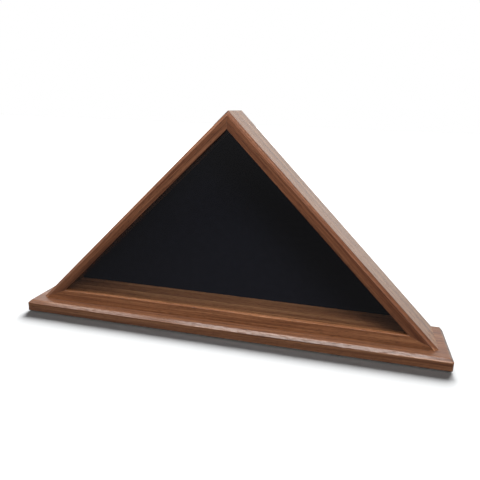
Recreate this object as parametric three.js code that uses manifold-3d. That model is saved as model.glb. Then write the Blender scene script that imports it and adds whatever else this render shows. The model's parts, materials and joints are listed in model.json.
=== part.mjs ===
// A triangular display case for a folded burial flag: a mitred walnut box with an applied face frame,
// a glazed front, a lift-out felted back held by turn buttons, and a chamfered base board on rubber feet.
// Millimetres, +X to the case's right, +Y to its back, +Z up. The origin is at the bottom centre of the
// whole case, on the surface that it stands on.
import * as THREE from 'three';
import { mergeVertices } from 'three/addons/utils/BufferGeometryUtils.js';
import Module from 'manifold-3d';

// ---------------------------------------------------------------- driving dimensions
const CASE_WIDTH = 660; // across the lower corners of the triangle, which has a right angle at its apex
const CASE_DEPTH = 88; // face frame and box together
const CASE_HEIGHT = CASE_WIDTH / 2;
const BOARD_THICKNESS = 12.7;

const FACE_WIDTH = 18.5;
const FACE_THICKNESS = 7;
const COVE_WIDTH = 5; // hollow moulding on the outer edge of the two sloping rails, seen from the front
const COVE_DEPTH = 5.3; // and measured back along the side of the case
const COVE_HOLLOW = 1; // how far the moulding dips below a flat chamfer

const BASE_THICKNESS = 19;
const BASE_SIDE_OVERHANG = 18;
const BASE_FRONT_OVERHANG = 19.5;
const BASE_CHAMFER_WIDTH = 5.1; // gently rounded chamfer along the front and both ends
const BASE_CHAMFER_HEIGHT = 5;
const BASE_CHAMFER_BULGE = 0.4;
const BASE_BOTTOM_EASE = 0.8;

const GLASS_THICKNESS = 2;
const BEAD_SIZE = 4; // glazing bead behind the glass
const BEAD_ROUND = 2.6;

const FELT_THICKNESS = 1;
const PANEL_THICKNESS = 6;
const PANEL_LEDGE = 5.2; // width of the rebate that the back panel drops into

const SPLINE_THICKNESS = 3; // stopped feather across each mitre of the box
const SPLINE_WIDTH = 10;
const SPLINE_END_MARGIN = 8;
const APEX_SPLINE_DEPTH = 12; // below the apex, along the mitre
const CORNER_SPLINE_DEPTH = 22; // in from a lower corner, along the mitre

const BUTTON_WIDTH = 7;
const BUTTON_REACH = 22; // from the pivot to the tip
const BUTTON_THICKNESS = 1.5;
const BUTTON_TIP_RADIUS = 2.6;
const BUTTON_SPREAD = 0.27; // pivots this share of the side's length to each side of its middle

const BUTTON_SCREW = { headRadius: 2.9, headHeight: 1.3, shankRadius: 1.4, length: 13, tip: 3 };
const BASE_SCREW = { headRadius: 4.2, headHeight: 2.6, shankRadius: 2, length: 27.5, tip: 5 };
const BASE_SCREW_RECESS = 0.6; // heads lie this far inside the underside of the base
const BASE_SCREW_POSITIONS = [-240, -80, 80, 240];
const SCREW_SLOT_WIDTH = 0.8;
const SCREW_SLOT_DEPTH = 0.7;
const COUNTERSUNK_RIM = 0.3; // straight rim above the cone of a countersunk head
const ROUND_HEAD = { flat: 0.55, shoulder: 0.9, shoulderDepth: 0.35 }; // shares of the head's radius and height
const BUTTON_SLOT_ANGLE = Math.PI / 5; // how the slots of the turn buttons' screws happen to stand

const FOOT_RADIUS = 8;
const FOOT_HEIGHT = 2;
const FOOT_EDGE_ROUND = 0.8;
const FOOT_INSET_X = 14; // from the ends of the base to a foot's centre
const FOOT_INSET_Y = 12.5; // from the front and back edges

const FIT_GAP = 0.3; // around everything that moves, drops in or is screwed in
const MITRE_GAP = 0.3; // glue line across each mitre
const GLUE_GAP = 0.1; // glue line between flat faces
const CUT_ROOM = 20; // how far a shape that only cuts or trims runs past what it works on

// ---------------------------------------------------------------- worked out from them
const BASE_WIDTH = CASE_WIDTH + 2 * BASE_SIDE_OVERHANG;
const BASE_DEPTH = CASE_DEPTH + BASE_FRONT_OVERHANG;
const BASE_TOP = FOOT_HEIGHT + BASE_THICKNESS;
const BUTTON_BACK = FIT_GAP + BUTTON_THICKNESS + FIT_GAP + BUTTON_SCREW.headHeight;
const TOTAL_DEPTH = BASE_DEPTH + BUTTON_BACK;
const FACE_PLANE_Y = BASE_FRONT_OVERHANG - TOTAL_DEPTH / 2;

const SLOPE_LENGTH = CASE_WIDTH * Math.SQRT1_2;
const APEX_HALF_ANGLE = Math.PI / 4;
const CORNER_HALF_ANGLE = Math.PI / 8;
const LEDGE_DEPTH = FELT_THICKNESS + PANEL_THICKNESS + FIT_GAP;
const EDGE_WIDTH = BOARD_THICKNESS - PANEL_LEDGE; // what the rebate leaves of a board's back edge
const BOX_FRONT = FACE_THICKNESS + GLUE_GAP;
const GLASS_FRONT = FACE_THICKNESS + GLUE_GAP;
const BEAD_FRONT = GLASS_FRONT + GLASS_THICKNESS + GLUE_GAP;

// ---------------------------------------------------------------- materials
const walnut = new THREE.MeshStandardMaterial({ color: 0x6f4733, roughness: 0.45, metalness: 0 });
const birch = new THREE.MeshStandardMaterial({ color: 0xc4a67a, roughness: 0.7, metalness: 0 });
const felt = new THREE.MeshStandardMaterial({ color: 0x17181c, roughness: 1, metalness: 0 });
const fibreboard = new THREE.MeshStandardMaterial({ color: 0x3b2a20, roughness: 0.8, metalness: 0 });
const brass = new THREE.MeshStandardMaterial({ color: 0xb99750, roughness: 0.35, metalness: 1 });
const steel = new THREE.MeshStandardMaterial({ color: 0xb4b7ba, roughness: 0.35, metalness: 1 });
const rubber = new THREE.MeshStandardMaterial({ color: 0x1b1b1c, roughness: 0.85, metalness: 0 });
const glass = new THREE.MeshStandardMaterial({
  color: 0xdde6e8, roughness: 0.05, metalness: 0, transparent: true, opacity: 0.25,
});

// ---------------------------------------------------------------- cutting
const wasm = await Module();
wasm.setup();

function toSolid(geometry, matrix) {
  const bare = geometry.clone().applyMatrix4(matrix);
  bare.deleteAttribute('normal');
  bare.deleteAttribute('uv');
  const merged = mergeVertices(bare);
  const vertProperties = new Float32Array(merged.attributes.position.array);
  const triVerts = new Uint32Array(merged.index.array);
  return new wasm.Manifold(new wasm.Mesh({ numProp: 3, vertProperties, triVerts }));
}

function toGeometry(solid) {
  const { vertProperties, triVerts } = solid.getMesh();
  const geometry = new THREE.BufferGeometry();
  geometry.setAttribute('position', new THREE.BufferAttribute(vertProperties, 3));
  geometry.setIndex(new THREE.BufferAttribute(triVerts, 1));
  geometry.computeVertexNormals();
  return geometry;
}

// Removes each cutter, wherever it stands in the scene graph, from the mesh.
function cutAway(mesh, ...cutters) {
  mesh.updateWorldMatrix(true, false);
  const toMesh = mesh.matrixWorld.clone().invert();
  let solid = toSolid(mesh.geometry, new THREE.Matrix4());
  for (const cutter of cutters) {
    cutter.updateWorldMatrix(true, false);
    solid = solid.subtract(toSolid(cutter.geometry, toMesh.clone().multiply(cutter.matrixWorld)));
  }
  mesh.geometry = toGeometry(solid);
}

// ---------------------------------------------------------------- shapes
function shapeOf(points) {
  return new THREE.Shape(points.map(([x, y]) => new THREE.Vector2(x, y)));
}

// Extrudes an outline of (depth, height) points along X, centred on it.
const OUTLINE_TO_X = new THREE.Matrix4().makeBasis(
  new THREE.Vector3(0, 1, 0), new THREE.Vector3(0, 0, 1), new THREE.Vector3(1, 0, 0));

function alongX(shape, length) {
  const geometry = new THREE.ExtrudeGeometry(shape, { depth: length, bevelEnabled: false, curveSegments: 6 });
  return geometry.applyMatrix4(OUTLINE_TO_X).translate(-length / 2, 0, 0);
}

// Extrudes an outline of (x, z) points along Y, from y = 0 to its thickness.
function alongY(shape, thickness) {
  const geometry = new THREE.ExtrudeGeometry(shape, { depth: thickness, bevelEnabled: false, curveSegments: 10 });
  return geometry.rotateX(Math.PI / 2).translate(0, thickness, 0);
}

// A member of the triangle in its own frame: X along it, z = 0 at its outer face and negative inward.
// Each end is cut back by the mitre, whose half angle is given, and half of the glue line.
function mitred(shape, length, startHalfAngle, endHalfAngle) {
  const geometry = alongX(shape, length);
  const position = geometry.attributes.position;
  for (let i = 0; i < position.count; i += 1) {
    const atStart = position.getX(i) < 0;
    const halfAngle = atStart ? startHalfAngle : endHalfAngle;
    const cutBack = -position.getZ(i) / Math.tan(halfAngle) + MITRE_GAP / 2 / Math.sin(halfAngle);
    position.setX(i, atStart ? cutBack - length / 2 : length / 2 - cutBack);
  }
  geometry.computeVertexNormals();
  return geometry;
}

// The case's triangle, each side moved inward by the inset.
function triangle(inset) {
  const reach = CASE_WIDTH / 2 - inset / Math.tan(CORNER_HALF_ANGLE);
  return shapeOf([[-reach, inset], [reach, inset], [0, CASE_HEIGHT - inset * Math.SQRT2]]);
}

// A screw along Y with its head's top at y = 0 and its point at y = -length, countersunk or round-headed.
function screwGeometry({ headRadius, headHeight, shankRadius, length, tip }, countersunk, grow) {
  const head = countersunk
    ? [
      [headRadius + grow, grow], [headRadius + grow, -COUNTERSUNK_RIM - grow],
      [shankRadius + grow, -headHeight - grow],
    ]
    : [
      [headRadius * ROUND_HEAD.flat, 0],
      [headRadius * ROUND_HEAD.shoulder, -headHeight * ROUND_HEAD.shoulderDepth],
      [headRadius, -headHeight], [shankRadius, -headHeight],
    ];
  const top = countersunk ? grow : 0;
  const profile = [[0, top], ...head, [shankRadius + grow, tip - length], [0, -length - grow]];
  const points = profile.map(([radius, y]) => new THREE.Vector2(radius, y)).reverse();
  return new THREE.LatheGeometry(points, 20);
}

// The straight hole that a screw's shank runs in.
function shankHole({ headHeight, shankRadius, length }) {
  const depth = length - headHeight + 2 * FIT_GAP;
  return new THREE.CylinderGeometry(shankRadius + FIT_GAP, shankRadius + FIT_GAP, depth, 20)
    .translate(0, -headHeight - depth / 2 + FIT_GAP, 0);
}

function named(name, geometry, material) {
  const mesh = new THREE.Mesh(geometry, material);
  mesh.name = name;
  return mesh;
}

function cutter(geometry) {
  return new THREE.Mesh(geometry);
}

// ---------------------------------------------------------------- members of the triangle
// From the front of the cove to its back, in (depth, height).
function addCove(shape) {
  const chord = Math.hypot(COVE_DEPTH, COVE_WIDTH);
  const pull = (2 * COVE_HOLLOW) / chord;
  shape.quadraticCurveTo(
    COVE_DEPTH / 2 + pull * COVE_WIDTH, -COVE_WIDTH / 2 - pull * COVE_DEPTH, COVE_DEPTH, 0);
}

function mouldedFaceShape() {
  const shape = shapeOf([[FACE_THICKNESS, 0], [FACE_THICKNESS, -FACE_WIDTH], [0, -FACE_WIDTH], [0, -COVE_WIDTH]]);
  addCove(shape);
  return shape;
}

function squareFaceShape() {
  return shapeOf([[0, -FACE_WIDTH], [FACE_THICKNESS, -FACE_WIDTH], [FACE_THICKNESS, 0], [0, 0]]);
}

// What the cove takes off a square edge, with room to spare outside it.
function coveCutterShape() {
  const spare = COVE_HOLLOW;
  const shape = shapeOf([[COVE_DEPTH, spare], [-spare, spare], [-spare, -COVE_WIDTH], [0, -COVE_WIDTH]]);
  addCove(shape);
  return shape;
}

function boardShape() {
  return shapeOf([
    [BOX_FRONT, -BOARD_THICKNESS], [CASE_DEPTH - LEDGE_DEPTH, -BOARD_THICKNESS],
    [CASE_DEPTH - LEDGE_DEPTH, -EDGE_WIDTH], [CASE_DEPTH, -EDGE_WIDTH], [CASE_DEPTH, 0], [BOX_FRONT, 0],
  ]);
}

function beadShape() {
  const outer = -BOARD_THICKNESS - GLUE_GAP;
  const inner = outer - BEAD_SIZE;
  const back = BEAD_FRONT + BEAD_SIZE;
  const shape = new THREE.Shape();
  shape.moveTo(BEAD_FRONT, inner);
  shape.lineTo(back - BEAD_ROUND, inner);
  shape.absarc(back - BEAD_ROUND, inner + BEAD_ROUND, BEAD_ROUND, -Math.PI / 2, 0, false);
  shape.lineTo(back, outer);
  shape.lineTo(BEAD_FRONT, outer);
  return shape;
}

// ---------------------------------------------------------------- turn buttons
// A button pivots at its own origin and points along +X while it is open.
function buttonGeometry() {
  const radius = BUTTON_WIDTH / 2;
  const tipCentre = BUTTON_REACH - BUTTON_TIP_RADIUS;
  const taper = Math.asin((radius - BUTTON_TIP_RADIUS) / tipCentre);
  const shape = new THREE.Shape();
  shape.absarc(0, 0, radius, Math.PI / 2 - taper, 3 * Math.PI / 2 + taper, false);
  shape.absarc(tipCentre, 0, BUTTON_TIP_RADIUS, -Math.PI / 2 + taper, Math.PI / 2 - taper, false);
  const hole = new THREE.Path();
  hole.absarc(0, 0, BUTTON_SCREW.shankRadius + FIT_GAP, 0, 2 * Math.PI, true);
  shape.holes.push(hole);
  return alongY(shape, BUTTON_THICKNESS);
}

function slotCutter(screw) {
  return new THREE.BoxGeometry(2 * screw.headRadius + 2 * FIT_GAP, 2 * SCREW_SLOT_DEPTH, SCREW_SLOT_WIDTH);
}

// Adds a button and its screw to a side's group; heading is +1 where it opens along the side's +X.
function addTurnButton(side, board, label, along, heading) {
  const pivot = new THREE.Group();
  pivot.position.set(along, CASE_DEPTH, -EDGE_WIDTH / 2);
  pivot.rotation.y = heading > 0 ? 0 : Math.PI;
  side.add(pivot);

  const button = named(`turn_button_${label}`, buttonGeometry(), brass);
  button.position.y = FIT_GAP;
  const screw = named(`turn_button_screw_${label}`, screwGeometry(BUTTON_SCREW, false, 0), brass);
  screw.position.y = BUTTON_BACK;
  pivot.add(button, screw);

  const slot = cutter(slotCutter(BUTTON_SCREW));
  slot.rotation.y = BUTTON_SLOT_ANGLE;
  const hole = cutter(shankHole(BUTTON_SCREW));
  screw.add(slot, hole);
  cutAway(screw, slot);
  cutAway(board, hole);
  screw.remove(slot, hole);
}

// ---------------------------------------------------------------- the case
const flagCase = new THREE.Group();
const box = new THREE.Group(); // its origin is on the base's top, at the middle of the face plane
box.position.set(0, FACE_PLANE_Y, BASE_TOP);
flagCase.add(box);

const SIDES = [
  {
    label: 'left', board: 'side_board_left', middle: [-CASE_WIDTH / 4, CASE_HEIGHT / 2], turn: -Math.PI / 4,
    length: SLOPE_LENGTH, start: CORNER_HALF_ANGLE, end: APEX_HALF_ANGLE, moulded: true,
    buttons: [['left_lower', -1, -1], ['left_upper', 1, -1]],
  },
  {
    label: 'right', board: 'side_board_right', middle: [CASE_WIDTH / 4, CASE_HEIGHT / 2], turn: Math.PI / 4,
    length: SLOPE_LENGTH, start: APEX_HALF_ANGLE, end: CORNER_HALF_ANGLE, moulded: true,
    buttons: [['right_upper', -1, 1], ['right_lower', 1, 1]],
  },
  {
    label: 'bottom', board: 'bottom_board', middle: [0, 0], turn: Math.PI,
    length: CASE_WIDTH, start: CORNER_HALF_ANGLE, end: CORNER_HALF_ANGLE, moulded: false,
    buttons: [['bottom_right', -1, -1], ['bottom_left', 1, 1]],
  },
];

const boards = {};
const rails = {};
const mouldings = [];
for (const { label, board, middle, turn, length, start, end, moulded, buttons } of SIDES) {
  const side = new THREE.Group();
  side.position.set(middle[0], 0, middle[1]);
  side.rotation.y = turn;
  box.add(side);

  const faceShape = moulded ? mouldedFaceShape() : squareFaceShape();
  rails[label] = named(`face_rail_${label}`, mitred(faceShape, length, start, end), walnut);
  boards[label] = named(board, mitred(boardShape(), length, start, end), walnut);
  const bead = named(`glazing_bead_${label}`, mitred(beadShape(), length, start, end), walnut);
  side.add(rails[label], boards[label], bead);

  for (const [buttonLabel, place, heading] of buttons) {
    addTurnButton(side, boards[label], buttonLabel, place * BUTTON_SPREAD * length, heading);
  }
  if (moulded) {
    const moulding = cutter(alongX(coveCutterShape(), length + 2 * CUT_ROOM));
    side.add(moulding);
    mouldings.push(moulding);
  }
}

// The moulding of the sloping sides runs on across the tips of the bottom rail.
cutAway(rails.bottom, ...mouldings);
mouldings.forEach((moulding) => moulding.removeFromParent());

// ---------------------------------------------------------------- splines across the mitres
const splineLength = CASE_DEPTH - LEDGE_DEPTH - BOX_FRONT - 2 * SPLINE_END_MARGIN;

// Adds a spline whose thickness runs along the mitre, at the given depth from the outer corner.
function addSpline(label, corner, mitreAngle, depth, neighbours) {
  const along = new THREE.Vector2(Math.cos(mitreAngle), Math.sin(mitreAngle));
  const place = new THREE.Group();
  place.position.set(
    corner[0] + along.x * depth, BOX_FRONT + SPLINE_END_MARGIN + splineLength / 2, corner[1] + along.y * depth);
  place.rotation.y = -mitreAngle;
  box.add(place);
  const size = [SPLINE_THICKNESS, splineLength, SPLINE_WIDTH];
  place.add(named(`corner_spline_${label}`, new THREE.BoxGeometry(...size), birch));
  const slot = cutter(new THREE.BoxGeometry(...size.map((extent) => extent + 2 * FIT_GAP)));
  place.add(slot);
  neighbours.forEach((board) => cutAway(board, slot));
  place.remove(slot);
}

addSpline('apex', [0, CASE_HEIGHT], -Math.PI / 2, APEX_SPLINE_DEPTH, [boards.left, boards.right]);
addSpline('left', [-CASE_WIDTH / 2, 0], CORNER_HALF_ANGLE, CORNER_SPLINE_DEPTH, [boards.left, boards.bottom]);
addSpline('right', [CASE_WIDTH / 2, 0], Math.PI - CORNER_HALF_ANGLE, CORNER_SPLINE_DEPTH,
  [boards.right, boards.bottom]);

// ---------------------------------------------------------------- glass and back panel
const pane = named('glass_pane', alongY(triangle(BOARD_THICKNESS + FIT_GAP), GLASS_THICKNESS), glass);
pane.position.y = GLASS_FRONT;
const lining = named('back_panel_felt', alongY(triangle(EDGE_WIDTH + FIT_GAP), FELT_THICKNESS - GLUE_GAP), felt);
lining.position.y = CASE_DEPTH - PANEL_THICKNESS - FELT_THICKNESS;
const panel = named('back_panel', alongY(triangle(EDGE_WIDTH + FIT_GAP), PANEL_THICKNESS), fibreboard);
panel.position.y = CASE_DEPTH - PANEL_THICKNESS;
box.add(pane, lining, panel);

// ---------------------------------------------------------------- base board, its screws and feet
const base = new THREE.Group();
base.position.set(0, FACE_PLANE_Y - BASE_FRONT_OVERHANG, FOOT_HEIGHT); // under the middle of its front edge
flagCase.add(base);

// The moulded edge of the base, from its underside up to its top, in (inset, height).
function baseEdge() {
  const edge = new THREE.Shape();
  edge.moveTo(BASE_BOTTOM_EASE, 0);
  edge.lineTo(0, BASE_BOTTOM_EASE);
  edge.lineTo(0, BASE_THICKNESS - BASE_CHAMFER_HEIGHT);
  edge.quadraticCurveTo(
    BASE_CHAMFER_WIDTH / 2 - BASE_CHAMFER_BULGE * Math.SQRT2,
    BASE_THICKNESS - BASE_CHAMFER_HEIGHT / 2 + BASE_CHAMFER_BULGE * Math.SQRT2,
    BASE_CHAMFER_WIDTH, BASE_THICKNESS);
  return edge.getPoints(6);
}

function baseGeometry() {
  const edge = baseEdge();
  const front = new THREE.Shape([
    ...edge, new THREE.Vector2(BASE_DEPTH, BASE_THICKNESS), new THREE.Vector2(BASE_DEPTH, 0)]);
  const leftEnd = edge.map(({ x, y }) => new THREE.Vector2(x - BASE_WIDTH / 2, y));
  const rightEnd = edge.map(({ x, y }) => new THREE.Vector2(BASE_WIDTH / 2 - x, y)).reverse();
  const across = new THREE.Shape([...leftEnd, ...rightEnd]);
  const lengthwise = alongX(front, BASE_WIDTH + 2 * CUT_ROOM);
  const crosswise = alongY(across, BASE_DEPTH + 2 * CUT_ROOM).translate(0, -CUT_ROOM, 0);
  const unmoved = new THREE.Matrix4();
  return toGeometry(toSolid(lengthwise, unmoved).intersect(toSolid(crosswise, unmoved)));
}

const baseBoard = named('base_board', baseGeometry(), walnut);
base.add(baseBoard);

const BASE_SCREW_LABELS = ['left', 'mid_left', 'mid_right', 'right'];
BASE_SCREW_POSITIONS.forEach((x, index) => {
  const screw = named(`base_screw_${BASE_SCREW_LABELS[index]}`, screwGeometry(BASE_SCREW, true, 0), steel);
  screw.position.set(x, BASE_FRONT_OVERHANG + CASE_DEPTH / 2, BASE_SCREW_RECESS);
  screw.rotation.x = -Math.PI / 2; // its point up
  const hole = cutter(screwGeometry(BASE_SCREW, true, FIT_GAP));
  const mouth = cutter(new THREE.CylinderGeometry(
    BASE_SCREW.headRadius + FIT_GAP, BASE_SCREW.headRadius + FIT_GAP, 2 * BASE_SCREW_RECESS + 2 * FIT_GAP, 20));
  const slot = cutter(slotCutter(BASE_SCREW));
  base.add(screw);
  screw.add(hole, mouth, slot);
  cutAway(screw, slot);
  cutAway(baseBoard, hole, mouth);
  cutAway(boards.bottom, hole);
  screw.remove(hole, mouth, slot);
});

// A foot stands on z = 0 of its own frame, its lower edge rounded.
function footGeometry() {
  const points = [new THREE.Vector2(0, 0)];
  for (let step = 0; step <= 3; step += 1) {
    const angle = (step / 3) * Math.PI / 2;
    points.push(new THREE.Vector2(
      FOOT_RADIUS - FOOT_EDGE_ROUND * (1 - Math.sin(angle)), FOOT_EDGE_ROUND * (1 - Math.cos(angle))));
  }
  const top = FOOT_HEIGHT - GLUE_GAP;
  points.push(new THREE.Vector2(FOOT_RADIUS, top), new THREE.Vector2(0, top));
  return new THREE.LatheGeometry(points, 24).rotateX(Math.PI / 2);
}

for (const [row, depth] of [['front', FOOT_INSET_Y], ['back', BASE_DEPTH - FOOT_INSET_Y]]) {
  for (const [label, heading] of [['left', -1], ['right', 1]]) {
    const foot = named(`foot_${row}_${label}`, footGeometry(), rubber);
    foot.position.set(heading * (BASE_WIDTH / 2 - FOOT_INSET_X), depth, -FOOT_HEIGHT);
    base.add(foot);
  }
}

export default flagCase;
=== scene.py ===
"""Looks of the folded flag display case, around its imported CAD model.

Eased and moulded walnut members, felt, glass, brass and steel hardware, on a plain pale floor in soft studio
light. Lengths are metres, in the CAD model's frame.
"""

import json
import math

import bmesh
import bpy
from mathutils import Matrix, Vector

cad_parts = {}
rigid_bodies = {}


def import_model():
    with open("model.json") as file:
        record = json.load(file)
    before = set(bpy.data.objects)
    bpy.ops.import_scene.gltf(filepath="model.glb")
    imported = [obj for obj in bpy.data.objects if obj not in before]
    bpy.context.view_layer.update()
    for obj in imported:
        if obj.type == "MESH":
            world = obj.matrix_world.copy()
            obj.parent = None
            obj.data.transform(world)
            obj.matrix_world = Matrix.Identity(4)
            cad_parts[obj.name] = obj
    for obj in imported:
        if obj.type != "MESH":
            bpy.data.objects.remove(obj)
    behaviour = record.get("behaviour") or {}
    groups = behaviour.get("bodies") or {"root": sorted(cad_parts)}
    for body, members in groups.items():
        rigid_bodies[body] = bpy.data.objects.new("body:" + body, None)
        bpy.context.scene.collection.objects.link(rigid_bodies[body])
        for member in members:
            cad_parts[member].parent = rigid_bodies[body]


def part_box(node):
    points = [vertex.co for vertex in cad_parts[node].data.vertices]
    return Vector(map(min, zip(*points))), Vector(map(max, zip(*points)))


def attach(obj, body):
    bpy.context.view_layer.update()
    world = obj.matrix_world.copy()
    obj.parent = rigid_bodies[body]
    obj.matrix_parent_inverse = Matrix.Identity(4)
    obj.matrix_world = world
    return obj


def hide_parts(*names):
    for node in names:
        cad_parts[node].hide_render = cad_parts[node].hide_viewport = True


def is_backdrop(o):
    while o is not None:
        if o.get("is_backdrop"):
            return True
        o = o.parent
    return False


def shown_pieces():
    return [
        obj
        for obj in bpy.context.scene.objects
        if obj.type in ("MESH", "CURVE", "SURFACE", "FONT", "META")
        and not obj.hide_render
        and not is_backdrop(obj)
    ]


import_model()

MM = 0.001
QUARTER_TURN = math.pi / 2
SHARP_ANGLE = math.radians(35)  # a crease shows where faces meet at more than this

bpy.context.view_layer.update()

# ---------------------------------------------------------------- sizes, from the frame
FACE_LO, FACE_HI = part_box("face_rail_right")
BOARD_LO, BOARD_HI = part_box("side_board_right")
FLOOR_BOARD_LO, FLOOR_BOARD_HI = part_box("bottom_board")
BASE_LO, BASE_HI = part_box("base_board")
GLASS_LO, GLASS_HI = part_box("glass_pane")
PANEL_LO, PANEL_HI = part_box("back_panel")
FELT_LO, FELT_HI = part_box("back_panel_felt")
BEAD_LO, BEAD_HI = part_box("glazing_bead_bottom")

BOX_BOTTOM = FLOOR_BOARD_LO.z
MITRE_GAP = 2 * BOARD_LO.x
APEX_Z = BOARD_HI.z + MITRE_GAP / 2
HALF_WIDTH = APEX_Z - BOX_BOTTOM
FRONT, SEAM, BOX_BACK = FACE_LO.y, FACE_HI.y, BOARD_HI.y
BOARD_THICKNESS = FLOOR_BOARD_HI.z - FLOOR_BOARD_LO.z
FACE_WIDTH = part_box("face_rail_bottom")[1].z - BOX_BOTTOM

APEX_HALF_ANGLE = math.pi / 4
CORNER_HALF_ANGLE = math.pi / 8
GLUE_LINE = 0.06 * MM  # what shows of the glue in a mitre

COVE_WIDTH = 5 * MM
COVE_DEPTH = 5.3 * MM
COVE_HOLLOW = 1 * MM
COVE_STEPS = 10
COVE_ARRIS_RADIUS = 0.15 * MM
LEDGE_GAP = 0.3 * MM  # beside the panel
REBATE_GAP = 0.4 * MM  # from the rebate's ledge to the felt
PANEL_EDGE_WIDTH = PANEL_LO.z - BOX_BOTTOM - LEDGE_GAP  # a board's back edge beside the panel

WOOD_EASE = 0.5 * MM  # sanded arris
FINE_EASE = 0.25 * MM
BEAD_EASE = 0.2 * MM
BEAD_ROUND = 2.6 * MM
BEAD_GLUE_GAP = 0.1 * MM

BASE_CORNER_RADIUS = 2.4 * MM
BASE_LEAST_RADIUS = 0.5 * MM
BASE_BACK_RADIUS = 0.8 * MM
BASE_UNDER_EASE = 0.8 * MM
BASE_CHAMFER = 5 * MM
BASE_CHAMFER_ARRIS = 0.3 * MM
BASE_CHAMFER_ROUND = 2.2 * MM  # where the chamfer rolls over into the top


# ---------------------------------------------------------------- outlines
def eased(corners, radii, steps):
    """The closed outline of 2-D corners, each rounded to its radius; 0 leaves one sharp."""
    outline = []
    for index, corner in enumerate(corners):
        here = Vector(corner)
        radius = radii[index]
        if radius == 0:
            outline.append(here)
            continue
        back = (Vector(corners[index - 1]) - here).normalized()
        ahead = (Vector(corners[(index + 1) % len(corners)]) - here).normalized()
        half = back.angle(ahead) / 2
        centre = here + (back + ahead).normalized() * (radius / math.sin(half))
        start = here + back * (radius / math.tan(half)) - centre
        sweep = start.angle_signed(here + ahead * (radius / math.tan(half)) - centre)
        for step in range(steps + 1):
            outline.append(centre + Matrix.Rotation(-sweep * step / steps, 2) @ start)
    return outline


def bezier(points, steps):
    """Points along a Bezier curve of any order."""
    made = []
    for step in range(steps + 1):
        row = [Vector(p) for p in points]
        while len(row) > 1:
            row = [a.lerp(b, step / steps) for a, b in zip(row, row[1:])]
        made.append(row[0])
    return made


def triangle(inset, radius):
    """The case's triangle in (x, z), each side moved inward, with its corners rounded."""
    reach = HALF_WIDTH - inset / math.tan(CORNER_HALF_ANGLE)
    apex = APEX_Z - inset * math.sqrt(2)
    corners = [(-reach, BOX_BOTTOM + inset), (reach, BOX_BOTTOM + inset), (0, apex)]
    return eased(corners, [radius] * 3, steps=3)


def quarter_round(radius, steps):
    """(in, up) from an edge's start at full inset to its end at full height, along a quarter circle."""
    angles = [QUARTER_TURN * step / steps for step in range(steps + 1)]
    return [(radius * (1 - math.sin(a)), radius * (1 - math.cos(a))) for a in angles]


# ---------------------------------------------------------------- meshes
def stacked(sections):
    """A closed mesh through sections of equally many 3-D points, with flat caps on the first and last."""
    count = len(sections[0])
    points = [p for section in sections for p in section]
    faces = [list(range(count))[::-1], [len(points) - count + i for i in range(count)]]
    for level in range(len(sections) - 1):
        for i in range(count):
            a, b = level * count + i, level * count + (i + 1) % count
            faces.append([a, b, b + count, a + count])
    return to_mesh(points, faces)


def ringed(rings):
    """A closed mesh through rings of points that come back to the first, such as a plate with a hole."""
    count = len(rings[0])
    points = [p for ring in rings for p in ring]
    faces = []
    for level in range(len(rings)):
        after = (level + 1) % len(rings)
        for i in range(count):
            j = (i + 1) % count
            low, high = level * count, after * count
            faces.append([low + i, low + j, high + j, high + i])
    return to_mesh(points, faces)


def turned(profile, segments, radius_at=None):
    """A closed mesh of revolution about Y through (radius, y) points that start and end on the axis."""
    points, rings = [], []
    for radius, y in profile:
        if radius == 0:
            rings.append([len(points)])
            points.append(Vector((0, y, 0)))
            continue
        rings.append(list(range(len(points), len(points) + segments)))
        for i in range(segments):
            share = i / segments
            r = radius_at(radius, y, share) if radius_at else radius
            points.append(Vector((r * math.cos(math.tau * share), y, r * math.sin(math.tau * share))))
    faces = []
    for low, high in zip(rings, rings[1:]):
        for i in range(segments):
            j = (i + 1) % segments
            corners = [low[i % len(low)], low[j % len(low)], high[j % len(high)], high[i % len(high)]]
            faces.append(list(dict.fromkeys(corners)))
    return to_mesh(points, faces)


def to_mesh(points, faces):
    """A mesh with its normals facing out."""
    mesh = bpy.data.meshes.new("shape")
    mesh.from_pydata([tuple(p) for p in points], [], faces)
    shape = bmesh.new()
    shape.from_mesh(mesh)
    bmesh.ops.recalc_face_normals(shape, faces=shape.faces)
    shape.to_mesh(mesh)
    shape.free()
    return mesh


def block(size, ease=0.0):
    """A box centred on the origin, its edges rounded."""
    shape = bmesh.new()
    bmesh.ops.create_cube(shape, size=1)
    bmesh.ops.scale(shape, vec=size, verts=shape.verts)
    if ease:
        edges = shape.edges[:]
        bmesh.ops.bevel(shape, geom=edges, offset=ease, segments=2, affect="EDGES", profile=0.5)
    mesh = bpy.data.meshes.new("shape")
    shape.to_mesh(mesh)
    shape.free()
    return mesh


def moved(mesh, matrix):
    """A copy of the mesh, carried by the matrix."""
    copy = mesh.copy()
    copy.transform(matrix)
    return copy


def without(mesh, cutters):
    """The mesh with the cutters' meshes taken away."""
    tool_shape = bmesh.new()
    for cutter in cutters:
        tool_shape.from_mesh(cutter)
    tool_mesh = bpy.data.meshes.new("tool")
    tool_shape.to_mesh(tool_mesh)
    tool_shape.free()
    body = bpy.data.objects.new("body", mesh)
    tool = bpy.data.objects.new("tool", tool_mesh)
    for item in (body, tool):
        bpy.context.scene.collection.objects.link(item)
    modifier = body.modifiers.new("cut", "BOOLEAN")
    modifier.object = tool
    modifier.solver = "EXACT"
    bpy.context.view_layer.update()
    evaluated = body.evaluated_get(bpy.context.evaluated_depsgraph_get())
    result = bpy.data.meshes.new_from_object(evaluated)
    for item in (body, tool):
        bpy.data.objects.remove(item)
    return result


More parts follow.
